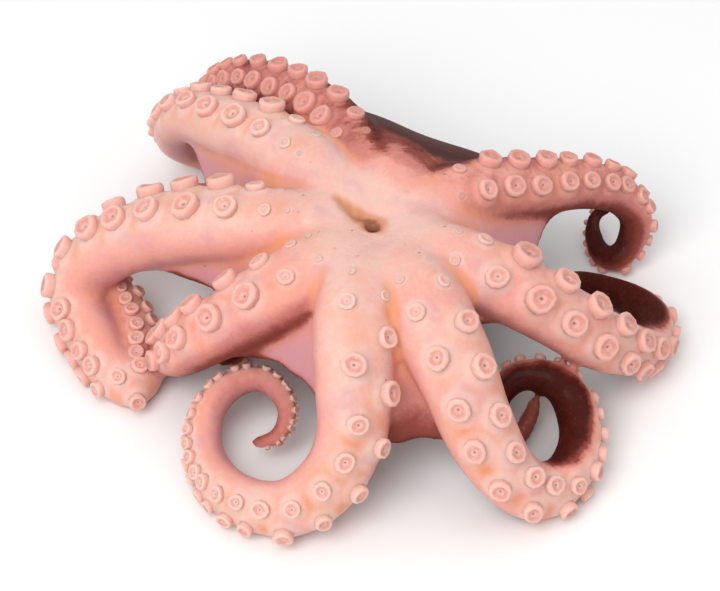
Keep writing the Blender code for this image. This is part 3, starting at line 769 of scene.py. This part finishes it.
def paintSkin(mesh):
    points = readPoints(mesh)
    normals = readNormals(mesh)
    ends = edgeEnds(mesh)
    near, out, across, rise = nearestOnArms(points)
    names = list(arms)

    def perArm(key):
        return np.array([arms[name][key] for name in names])[stationsTable["arm"][near]]

    t = stationsTable["t"][near]
    angle = np.degrees(np.arctan2(rise, np.abs(across)))
    onArm = 1 - blendStep(1.04, 1.30, out)
    up = normals[:, 2]
    x, y = flatOffset(points, spot(mouth["place"]))
    fromMouth = np.hypot(x, y)

    # arms: pale sucker side, flank darkened with painted shade, dark back, darker ends
    # the back arms' higher tone is partly painted shade
    pigment = 0.06 + perArm("tone") * blendStep(8 * mm, 26 * mm, fromMouth)
    pigment = pigment + perArm("flankShade") * blendStep(42, -32, angle)
    pigment = pigment + paint["end"] * blendStep(0.66, 1.0, t)
    edge = paint["stemEdge"] + (perArm("edge") - paint["stemEdge"]) * blendStep(0.38, 0.55, t)
    shadedSide = np.array([arms[name].get("shaded", (0, 0))[0] for name in names])[stationsTable["arm"][near]]
    shadedFrom = np.array([arms[name].get("shaded", (0, 0))[1] for name in names])[stationsTable["arm"][near]]
    shaded = (shadedSide * across > 0) * blendStep(10 * mm, 20 * mm, fromMouth) * blendStep(0.75, 0.6, t)
    edge = edge + (shadedFrom - edge) * shaded
    back = blendStep(edge + paint["edgeBlur"] / 2, edge - paint["edgeBlur"] / 2, angle) * perArm("dark")
    armPigment = pigment + (1 - pigment) * back

    # webs, head and mantle: pale above, dark below
    apart, webDarkAndShade, reach = nearestOnWebs(points)
    below = blendStep(0.30, -0.15, up)
    offPigment = np.maximum(paint["webPink"] * reach, below * paint["underWeb"])
    onWeb = blendStep(6 * mm, 2.5 * mm, apart)
    offPigment = np.where(onWeb > 0, offPigment, paint["underWeb"])
    pigment = armPigment * onArm + offPigment * (1 - onArm)

    # the dark web between the back arms, painted shade on the front web, and the flanks that rise from them
    darkWebAndShade = webDarkAndShade * blendStep(8.5 * mm, 4.0 * mm, apart)
    darkWebAndShade = darkWebAndShade * blendStep(80, 40, np.where(out < 1.1, angle, 0))
    pigment = np.maximum(pigment, darkWebAndShade)
    pigment *= 1 + paint["tipFade"] * blendStep(0.84, 0.96, t) * onArm * (back > 0.3)

    # how far each point lies in a hollow, for the painted shade the shader puts there
    curve = ((neighbourMean(points, ends) - points) * normals).sum(1)
    for k in range(6):
        curve = neighbourMean(curve, ends)
    hollow = np.clip(curve / (0.03 * mm), -1, 1)
    # lilac: the outer webs' thin skin tint, and painted shade on the arms' downward-facing lower flanks
    thinAndUnderShade = (1 - onArm) * onWeb * blendStep(0.25, 0.9, reach)
    thinAndUnderShade = np.maximum(thinAndUnderShade, 0.6 * blendStep(-5, -50, angle) * onArm * (1 - back))
    groove = np.clip(mouthGroove(points) + mouthHole(points), 0, 1)
    for k in range(3):
        pigment = neighbourMean(pigment, ends)
        thinAndUnderShade = neighbourMean(thinAndUnderShade, ends)
    # the skin's own grain follows the arm, and fades where two arms' skins meet
    arm = stationsTable["arm"][near].astype(np.float64)
    seam = (np.abs(neighbourMean(arm, ends) - arm) > 1e-6).astype(np.float64)
    for k in range(6):
        seam = np.maximum(seam, neighbourMean(seam, ends))
    grain = (1 - np.clip(seam * 3, 0, 1)) * onArm * blendStep(8 * mm, 18 * mm, fromMouth)
    rows = np.exp(-((np.abs(across) - suckers["rowOffset"]) / 0.4) ** 2) * blendStep(0.0, 0.3, rise) * grain
    beside = besideSuckers(points)
    pads = blendStep(1.75, 1.15, beside) * grain
    # a ring between neighbouring suckers in a row, where painted shade goes
    between = blendStep(1.3, 1.9, beside) * blendStep(4.2, 2.6, beside) * rows * blendStep(0.22, 0.4, t)
    strokes = grain * perArm("dark") * blendStep(-40, 0, perArm("edge")) * blendStep(0.3, 0.5, t)
    strokes = np.maximum(strokes, np.maximum(shaded, (webDarkAndShade > 0.85) * blendStep(9 * mm, 4 * mm, apart)))
    hole = np.clip(mouthHole(points), 0, 1)
    for name, values in (("pigment", pigment), ("thinAndUnderShade", thinAndUnderShade), ("hollow", hollow), ("groove", groove),
                         ("rows", rows), ("strokes", strokes), ("hole", hole), ("pads", pads),
                         ("between", between)):
        addColumn(mesh, name, values)
    along = stationsTable["distance"][near] + ((points - stationsTable["place"][near])
                                               * stationsTable["ahead"][near]).sum(1)
    flow = np.stack([along + arm * 0.5, np.radians(angle) * 8 * mm, out * 8 * mm], 1)
    made = mesh.attributes.new("flow", "FLOAT_VECTOR", "POINT")
    made.data.foreach_set("vector", flow.astype(np.float32).ravel())
    for polygon in mesh.polygons:
        polygon.use_smooth = True
    return points, pigment


skinPoints, skinPigment = paintSkin(skinMesh)


def suckerTones():
    tree = kdtree.KDTree(len(skinPoints))
    for i, place in enumerate(skinPoints):
        tree.insert(place, i)
    tree.balance()
    for s in suckerSpots:
        s["tone"] = float(skinPigment[tree.find(s["place"] + s["axis"] * s["radius"] * 0.3)[1]])


suckerTones()

# finishes
skinLook = {
    # colours from the palest skin to the dark of the back
    "ramp": ((0.0, (0.770, 0.490, 0.425)), (0.22, (0.755, 0.355, 0.300)), (0.45, (0.560, 0.205, 0.175)),
             (0.70, (0.255, 0.060, 0.044)), (1.0, (0.062, 0.008, 0.005))),
    "peach": (0.730, 0.295, 0.160),
    "lilac": (0.530, 0.260, 0.310),
    "ochre": (0.560, 0.230, 0.100),
    "mouth": (0.050, 0.012, 0.008),
    "freckleAndGrooveShade": (0.220, 0.070, 0.050),
    "milk": (0.800, 0.600, 0.560),
    "roughness": 0.42,
    "wrinkleHeight": 0.22 * mm,
}

suckerLook = {
    "ramp": ((0.0, (0.800, 0.510, 0.450)), (0.3, (0.770, 0.430, 0.375)), (0.6, (0.680, 0.330, 0.290)),
             (1.0, (0.500, 0.210, 0.180))),
    # painted shade at the sucker's foot and lower wall
    "wallShade": (0.700, 0.330, 0.270),
    "dish": (0.640, 0.240, 0.190),
    "hole": (0.330, 0.100, 0.070),
    "roughness": 0.40,
}


class Nodes:
    # short hand for wiring one material
    def __init__(self, name):
        self.material = bpy.data.materials.new(name)
        self.material.use_nodes = True
        self.tree = self.material.node_tree
        self.shader = self.tree.nodes["Principled BSDF"]
        self.column = 0

    def new(self, kind, **values):
        node = self.tree.nodes.new(kind)
        self.column += 1
        node.location = (-240 * (self.column % 8) - 300, -180 * (self.column // 8))
        for key, value in values.items():
            setattr(node, key, value)
        return node

    def put(self, value, socket):
        if isinstance(value, bpy.types.NodeSocket):
            self.tree.links.new(value, socket)
        elif isinstance(value, tuple) and len(value) == 3 and socket.type == "RGBA":
            socket.default_value = (*value, 1.0)
        else:
            socket.default_value = value

    def attribute(self, name, output="Fac"):
        return self.new("ShaderNodeAttribute", attribute_name=name).outputs[output]

    def objectSpace(self):
        return self.new("ShaderNodeTexCoord").outputs["Object"]

    def maths(self, operation, a, b=0.0, clamp=False):
        node = self.new("ShaderNodeMath", operation=operation, use_clamp=clamp)
        self.put(a, node.inputs[0])
        self.put(b, node.inputs[1])
        return node.outputs[0]

    def step(self, value, low, high, toLow=0.0, toHigh=1.0):
        node = self.new("ShaderNodeMapRange", interpolation_type="SMOOTHSTEP")
        for key, item in (("Value", value), ("From Min", low), ("From Max", high),
                          ("To Min", toLow), ("To Max", toHigh)):
            self.put(item, node.inputs[key])
        return node.outputs["Result"]

    def stretched(self, where, scales):
        node = self.new("ShaderNodeMapping")
        self.put(where, node.inputs["Vector"])
        node.inputs["Scale"].default_value = scales
        return node.outputs["Vector"]

    def noise(self, where, scale, detail=3.0, roughness=0.55):
        node = self.new("ShaderNodeTexNoise")
        self.put(where, node.inputs["Vector"])
        node.inputs["Scale"].default_value = scale
        node.inputs["Detail"].default_value = detail
        node.inputs["Roughness"].default_value = roughness
        return node.outputs["Fac"]

    def dots(self, where, scale, size, share=1.0):
        # round dots, 1 in the middle of each, in a share of the cells
        node = self.new("ShaderNodeTexVoronoi")
        self.put(where, node.inputs["Vector"])
        node.inputs["Scale"].default_value = scale
        spots = self.step(node.outputs["Distance"], size, size * 0.4)
        if share < 1.0:
            pick = self.new("ShaderNodeSeparateColor")
            self.put(node.outputs["Color"], pick.inputs[0])
            spots = self.maths("MULTIPLY", spots, self.maths("LESS_THAN", pick.outputs[0], share))
        return spots

    def ramp(self, value, stops):
        node = self.new("ShaderNodeValToRGB")
        node.color_ramp.interpolation = "EASE"
        elements = node.color_ramp.elements
        while len(elements) < len(stops):
            elements.new(0.5)
        for element, (place, colour) in zip(elements, stops):
            element.position = place
            element.color = (*colour, 1.0)
        self.put(value, node.inputs["Fac"])
        return node.outputs["Color"]

    def mix(self, share, a, b, blend="MIX"):
        node = self.new("ShaderNodeMix", data_type="RGBA", blend_type=blend)
        self.put(share, node.inputs[0])
        self.put(a, node.inputs[6])
        self.put(b, node.inputs[7])
        return node.outputs[2]

    def bump(self, height, distance, normal=None):
        node = self.new("ShaderNodeBump")
        node.inputs["Distance"].default_value = distance
        self.put(height, node.inputs["Height"])
        if normal is not None:
            self.put(normal, node.inputs["Normal"])
        return node.outputs["Normal"]


def wetFlesh(shader, roughness):
    shader.inputs["IOR"].default_value = 1.33
    shader.inputs["Metallic"].default_value = 0.0
    shader.inputs["Specular IOR Level"].default_value = 0.15
    shader.inputs["Subsurface Weight"].default_value = 0.5
    shader.inputs["Subsurface Radius"].default_value = (1.0, 0.36, 0.22)
    shader.inputs["Subsurface Scale"].default_value = 2.6 * mm
    shader.inputs["Coat Weight"].default_value = 0.06
    shader.inputs["Coat Roughness"].default_value = 0.15
    shader.inputs["Roughness"].default_value = roughness


def centred(n, value, amount):
    return n.maths("MULTIPLY", n.maths("SUBTRACT", value, 0.5), amount)


def skinMaterial():
    n = Nodes("octopusSkin")
    where = n.objectSpace()
    flow = n.attribute("flow", "Vector")
    pigment = n.attribute("pigment")
    thinAndUnderShade = n.attribute("thinAndUnderShade")
    hollow = n.attribute("hollow")
    rows = n.attribute("rows")
    broad = n.noise(where, 70.0, 2.0)
    middling = n.noise(where, 260.0, 3.0)
    fine = n.noise(where, 1100.0, 3.0)
    streaks = n.noise(n.stretched(flow, (1100.0, 180.0, 120.0)), 1.0, 3.0)
    # the back's edge breaks up in strokes and specks
    midTone = n.maths("MULTIPLY", n.step(pigment, 0.15, 0.5), n.step(pigment, 1.05, 0.7))
    uneven = n.maths("ADD", centred(n, broad, 0.24), centred(n, middling, 0.18))
    uneven = n.maths("ADD", uneven, centred(n, fine, 0.12))
    uneven = n.maths("SUBTRACT", uneven, n.maths("MULTIPLY", n.attribute("pads"), 0.12))
    strokes = n.maths("MULTIPLY", midTone, n.attribute("strokes"))
    uneven = n.maths("ADD", uneven, n.maths("MULTIPLY", centred(n, streaks, 0.34), strokes))
    uneven = n.maths("ADD", uneven, n.maths("MULTIPLY", centred(n, middling, 0.5), strokes))
    shade = n.maths("ADD", pigment, uneven, clamp=True)
    colour = n.ramp(shade, skinLook["ramp"])
    patches = n.noise(where, 120.0, 2.0)
    # peach: random warm patches, more along the sucker rows, with painted shade in hollows and between the suckers
    peachAndCreaseShade = n.maths("MULTIPLY", n.step(patches, 0.42, 0.70), n.maths("ADD", rows, 0.25))
    peachAndCreaseShade = n.maths("ADD", n.maths("MULTIPLY", peachAndCreaseShade, 0.38),
                     n.maths("MULTIPLY", n.step(hollow, 0.05, 0.7), 0.8), clamp=True)
    between = n.maths("MULTIPLY", n.attribute("between"), n.step(patches, 0.35, 0.6))
    peachAndCreaseShade = n.maths("ADD", peachAndCreaseShade, n.maths("MULTIPLY", between, 0.6), clamp=True)
    pale = n.step(shade, 0.6, 0.3)
    colour = n.mix(n.maths("MULTIPLY", peachAndCreaseShade, pale), colour, skinLook["peach"])
    # lilac on the thin outer webs, painted shade on the lower flanks, and cool random patches
    cool = n.maths("ADD", thinAndUnderShade, n.maths("MULTIPLY", n.step(patches, 0.48, 0.30), 0.35), clamp=True)
    colour = n.mix(n.maths("MULTIPLY", n.maths("MULTIPLY", cool, pale), 0.75), colour, skinLook["lilac"])
    milk = n.maths("MULTIPLY", n.step(middling, 0.5, 0.75), n.step(shade, 0.3, 0.0))
    colour = n.mix(n.maths("MULTIPLY", milk, 0.35), colour, skinLook["milk"])
    specks = n.maths("MULTIPLY", n.dots(where, 1300.0, 0.40, 0.6), n.step(shade, 0.25, 0.5))
    colour = n.mix(n.maths("MULTIPLY", specks, 0.16), colour, skinLook["ramp"][3][1])
    freckles = n.dots(where, 300.0, 0.12, 0.09)
    colour = n.mix(n.maths("MULTIPLY", freckles, 0.55), colour, skinLook["freckleAndGrooveShade"])
    groove = n.maths("ADD", n.attribute("groove"), centred(n, middling, 0.5))
    colour = n.mix(n.maths("MULTIPLY", n.step(groove, 0.15, 0.7), 0.8), colour, skinLook["ochre"])
    # the groove's deepest part and the mouth's opening are painted dark: painted shade in the recess
    colour = n.mix(n.maths("MULTIPLY", n.step(groove, 0.75, 1.05), 0.7), colour, skinLook["freckleAndGrooveShade"])
    colour = n.mix(n.step(n.attribute("hole"), 0.35, 0.9), colour, skinLook["mouth"])
    n.put(colour, n.shader.inputs["Base Color"])
    ribs = n.noise(n.stretched(flow, (900.0, 60.0, 60.0)), 1.0, 2.0)
    height = n.maths("ADD", n.maths("MULTIPLY", middling, 0.9), n.maths("MULTIPLY", fine, 0.35))
    height = n.maths("ADD", height, n.maths("MULTIPLY", n.maths("MULTIPLY", ribs, rows), 0.9))
    n.put(n.bump(height, skinLook["wrinkleHeight"]), n.shader.inputs["Normal"])
    wetFlesh(n.shader, skinLook["roughness"])
    n.put(n.step(shade, 0.3, 0.9, skinLook["roughness"], 0.7), n.shader.inputs["Roughness"])
    return n.material


def suckerMaterial():
    n = Nodes("suckerFlesh")
    where = n.objectSpace()
    cup = n.attribute("cup")
    tone = n.maths("ADD", n.attribute("tone"), centred(n, n.noise(where, 200.0, 2.0), 0.2), clamp=True)
    grown = n.attribute("grown")
    colour = n.mix(n.step(grown, 0.1, 0.6), n.ramp(tone, skinLook["ramp"]), n.ramp(tone, suckerLook["ramp"]))
    patchy = n.noise(where, 900.0, 2.0)
    # painted shade round the sucker's foot and lower wall
    colour = n.mix(n.maths("MULTIPLY", n.step(cup, 0.24, 0.06), 0.5), colour, suckerLook["wallShade"])
    dish = n.maths("MULTIPLY", n.step(cup, 0.40, 0.58), n.step(cup, 0.82, 0.72))
    dish = n.maths("MULTIPLY", dish, n.step(patchy, 0.25, 0.6, 0.15, 0.6))
    colour = n.mix(n.maths("MULTIPLY", dish, grown), colour, suckerLook["dish"])
    # the hole is painted dark: painted shade inside it
    hole = n.maths("MULTIPLY", n.step(cup, 0.84, 0.98), 0.75)
    colour = n.mix(n.maths("MULTIPLY", hole, grown), colour, suckerLook["hole"])
    n.put(colour, n.shader.inputs["Base Color"])
    n.put(n.bump(n.noise(where, 700.0, 3.0), 0.06 * mm), n.shader.inputs["Normal"])
    wetFlesh(n.shader, suckerLook["roughness"])
    return n.material


skinMesh.materials.clear()
skinMesh.materials.append(skinMaterial())
skinPiece = bpy.data.objects.new("octopusSkin", skinMesh)
bpy.context.scene.collection.objects.link(skinPiece)

# suckers, set out by nodes
suckerShape = {
    "sides": 10,
    # radius, height and how deep in the cup, from the sunk foot to the middle of the hole
    "turn": ((0.88, -0.90, 0.0), (1.00, 0.56, 0.15), (0.95, 0.82, 0.3), (0.74, 0.90, 0.4), (0.46, 0.68, 0.7),
             (0.22, 0.72, 0.8)),
    "holeDepth": 0.46,
    "flat": 0.50,             # height of the smallest ones near the mouth, of the full height
    "waver": 0.17,            # how far the flesh strays from the turned shape, per radius
    "waverSize": 420.0,
}


def suckerForm():
    bm = bmesh.new()
    cup = bm.verts.layers.float.new("cup")
    count = suckerShape["sides"]
    rows = []
    for radius, height, depth in suckerShape["turn"]:
        row = []
        for i in range(count):
            angle = 2 * math.pi * i / count
            v = bm.verts.new((radius * math.cos(angle), radius * math.sin(angle), height))
            v[cup] = depth
            row.append(v)
        rows.append(row)
    for low, high in zip(rows, rows[1:]):
        for i in range(count):
            j = (i + 1) % count
            bm.faces.new((low[i], low[j], high[j], high[i]))
    bm.faces.new(list(reversed(rows[0])))
    middle = bm.verts.new((0, 0, suckerShape["holeDepth"]))
    middle[cup] = 1.0
    for i in range(count):
        bm.faces.new((rows[-1][i], rows[-1][(i + 1) % count], middle))
    mesh = bpy.data.meshes.new("suckerForm")
    bm.to_mesh(mesh)
    bm.free()
    for polygon in mesh.polygons:
        polygon.use_smooth = True
    form = bpy.data.objects.new("suckerForm", mesh)
    bpy.context.scene.collection.objects.link(form)
    return form


def suckerSize(s):
    tall = suckerShape["flat"] + (1 - suckerShape["flat"]) * s["grown"]
    return s["radius"] * (1 + s["oval"]), s["radius"] * (1 - s["oval"]), s["radius"] * tall


def suckerPoints():
    mesh = bpy.data.meshes.new("suckers")
    mesh.from_pydata([s["place"] for s in suckerSpots], [], [])
    for name, kind, values in (
            ("axis", "FLOAT_VECTOR", [v for s in suckerSpots for v in s["axis"]]),
            ("size", "FLOAT_VECTOR", [v for s in suckerSpots for v in suckerSize(s)]),
            ("spin", "FLOAT", [s["spin"] for s in suckerSpots]),
            ("tone", "FLOAT", [s["tone"] for s in suckerSpots]),
            ("grown", "FLOAT", [s["grown"] for s in suckerSpots]),
            ("girth", "FLOAT", [s["radius"] for s in suckerSpots])):
        made = mesh.attributes.new(name, kind, "POINT")
        made.data.foreach_set("vector" if kind == "FLOAT_VECTOR" else "value", values)
    points = bpy.data.objects.new("suckers", mesh)
    bpy.context.scene.collection.objects.link(points)
    return points


def suckerTree():
    tree = bpy.data.node_groups.new("suckersInRows", "GeometryNodeTree")
    tree.interface.new_socket("Geometry", in_out="INPUT", socket_type="NodeSocketGeometry")
    form = tree.interface.new_socket("Sucker form", in_out="INPUT", socket_type="NodeSocketObject")
    swell = tree.interface.new_socket("Size", in_out="INPUT", socket_type="NodeSocketFloat")
    waver = tree.interface.new_socket("Waver", in_out="INPUT", socket_type="NodeSocketFloat")
    waverSize = tree.interface.new_socket("Waver size", in_out="INPUT", socket_type="NodeSocketFloat")
    finish = tree.interface.new_socket("Finish", in_out="INPUT", socket_type="NodeSocketMaterial")
    tree.interface.new_socket("Geometry", in_out="OUTPUT", socket_type="NodeSocketGeometry")
    nodes = tree.nodes
    link = tree.links.new
    start = nodes.new("NodeGroupInput")
    end = nodes.new("NodeGroupOutput")
    shape = nodes.new("GeometryNodeObjectInfo")
    link(start.outputs["Sucker form"], shape.inputs["Object"])
    named = {}
    for name, kind in (("axis", "FLOAT_VECTOR"), ("size", "FLOAT_VECTOR"), ("spin", "FLOAT")):
        named[name] = nodes.new("GeometryNodeInputNamedAttribute")
        named[name].data_type = kind
        named[name].inputs["Name"].default_value = name
    stand = nodes.new("FunctionNodeAlignRotationToVector")
    stand.axis = "Z"
    link(named["axis"].outputs["Attribute"], stand.inputs["Vector"])
    turn = nodes.new("FunctionNodeAxisAngleToRotation")
    turn.inputs["Axis"].default_value = (0, 0, 1)
    link(named["spin"].outputs["Attribute"], turn.inputs["Angle"])
    both = nodes.new("FunctionNodeRotateRotation")
    both.rotation_space = "LOCAL"
    link(stand.outputs["Rotation"], both.inputs["Rotation"])
    link(turn.outputs["Rotation"], both.inputs["Rotate By"])
    grow = nodes.new("ShaderNodeVectorMath")
    grow.operation = "SCALE"
    link(named["size"].outputs["Attribute"], grow.inputs[0])
    link(start.outputs["Size"], grow.inputs["Scale"])
    place = nodes.new("GeometryNodeInstanceOnPoints")
    link(start.outputs["Geometry"], place.inputs["Points"])
    link(shape.outputs["Geometry"], place.inputs["Instance"])
    link(both.outputs["Rotation"], place.inputs["Rotation"])
    link(grow.outputs[0], place.inputs["Scale"])
    real = nodes.new("GeometryNodeRealizeInstances")
    link(place.outputs["Instances"], real.inputs["Geometry"])
    # every sucker a little out of true
    cloud = nodes.new("ShaderNodeTexNoise")
    link(start.outputs["Waver size"], cloud.inputs["Scale"])
    cloud.inputs["Detail"].default_value = 1.0
    centre = nodes.new("ShaderNodeVectorMath")
    centre.operation = "SUBTRACT"
    centre.inputs[1].default_value = (0.5, 0.5, 0.5)
    link(cloud.outputs["Color"], centre.inputs[0])
    girth = nodes.new("GeometryNodeInputNamedAttribute")
    girth.data_type = "FLOAT"
    girth.inputs["Name"].default_value = "girth"
    reach = nodes.new("ShaderNodeMath")
    reach.operation = "MULTIPLY"
    link(girth.outputs["Attribute"], reach.inputs[0])
    link(start.outputs["Waver"], reach.inputs[1])
    stray = nodes.new("ShaderNodeVectorMath")
    stray.operation = "SCALE"
    link(centre.outputs["Vector"], stray.inputs[0])
    link(reach.outputs[0], stray.inputs["Scale"])
    shift = nodes.new("GeometryNodeSetPosition")
    link(real.outputs["Geometry"], shift.inputs["Geometry"])
    link(stray.outputs["Vector"], shift.inputs["Offset"])
    paint = nodes.new("GeometryNodeSetMaterial")
    link(shift.outputs["Geometry"], paint.inputs["Geometry"])
    link(start.outputs["Finish"], paint.inputs["Material"])
    link(paint.outputs["Geometry"], end.inputs["Geometry"])
    return tree, {"form": form.identifier, "swell": swell.identifier, "waver": waver.identifier,
                  "waverSize": waverSize.identifier, "finish": finish.identifier}


def makeSuckers():
    form = suckerForm()
    points = suckerPoints()
    tree, socket = suckerTree()
    setOut = points.modifiers.new("setOut", "NODES")
    setOut.node_group = tree
    setOut[socket["form"]] = form
    setOut[socket["swell"]] = 1.0
    setOut[socket["waver"]] = suckerShape["waver"] * 2
    setOut[socket["waverSize"]] = suckerShape["waverSize"]
    setOut[socket["finish"]] = suckerMaterial()
    bpy.context.view_layer.update()
    depsgraph = bpy.context.evaluated_depsgraph_get()
    mesh = bpy.data.meshes.new_from_object(points.evaluated_get(depsgraph), depsgraph=depsgraph)
    bpy.data.objects.remove(points, do_unlink=True)
    bpy.data.objects.remove(form, do_unlink=True)
    mesh.name = "octopusSuckers"
    where = readPoints(mesh)
    where[:, 2] = np.maximum(where[:, 2], 0.0)
    writePoints(mesh, where)
    piece = bpy.data.objects.new("octopusSuckers", mesh)
    bpy.context.scene.collection.objects.link(piece)
    print("suckers made:", len(mesh.polygons), "faces")
    return piece


suckerPiece = makeSuckers()

for piece in (skinPiece, suckerPiece):
    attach(piece, "root")
    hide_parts("octopus")

# floor, light and camera
studio = {
    "aim": (-5 * mm, -21 * mm, 15 * mm),   # where the camera looks
    "distance": 0.70,
    "elevation": 45,
    "lens": 170.0,
    "floorSize": 30.0,
    "floorColour": (0.88, 0.88, 0.88),
    "roomLight": 0.54,
    # softboxes: place, width and power
    "key": ((-0.35, -0.68, 0.86), 0.9, 9.5),
    "over": ((0.15, 0.10, 1.10), 1.3, 3.0),
}


def makeFloor():
    bpy.ops.mesh.primitive_plane_add(size=studio["floorSize"], location=(0, 0, -0.0002))
    floor = bpy.context.object
    floor.name = "floor"
    n = Nodes("paleFloor")
    n.put(studio["floorColour"], n.shader.inputs["Base Color"])
    n.shader.inputs["Roughness"].default_value = 0.7
    n.shader.inputs["Specular IOR Level"].default_value = 0.1
    floor.data.materials.append(n.material)


def makeLights():
    world = bpy.data.worlds.new("room")
    world.use_nodes = True
    world.node_tree.nodes["Background"].inputs["Color"].default_value = (1, 1, 1, 1)
    world.node_tree.nodes["Background"].inputs["Strength"].default_value = studio["roomLight"]
    bpy.context.scene.world = world
    for name in ("key", "over"):
        place, size, power = studio[name]
        light = bpy.data.lights.new(name, "AREA")
        light.shape = "DISK"
        light.size = size
        light.energy = power
        lamp = bpy.data.objects.new(name, light)
        lamp.location = place
        lamp.rotation_mode = "QUATERNION"
        lamp.rotation_quaternion = (-Vector(place)).to_track_quat("-Z", "Y")
        bpy.context.scene.collection.objects.link(lamp)


def makeCamera():
    data = bpy.data.cameras.new("camera")
    data.lens = studio["lens"]
    data.sensor_width = 36.0
    data.clip_start = 0.01
    data.clip_end = 50.0
    camera = bpy.data.objects.new("camera", data)
    up = math.radians(studio["elevation"])
    back = Vector((0, -math.cos(up), math.sin(up)))
    camera.location = Vector(studio["aim"]) + back * studio["distance"]
    camera.rotation_mode = "QUATERNION"
    camera.rotation_quaternion = (-back).to_track_quat("-Z", "Y")
    bpy.context.scene.collection.objects.link(camera)
    bpy.context.scene.camera = camera


makeFloor()
makeLights()
makeCamera()
bpy.context.scene.view_settings.view_transform = "Standard"
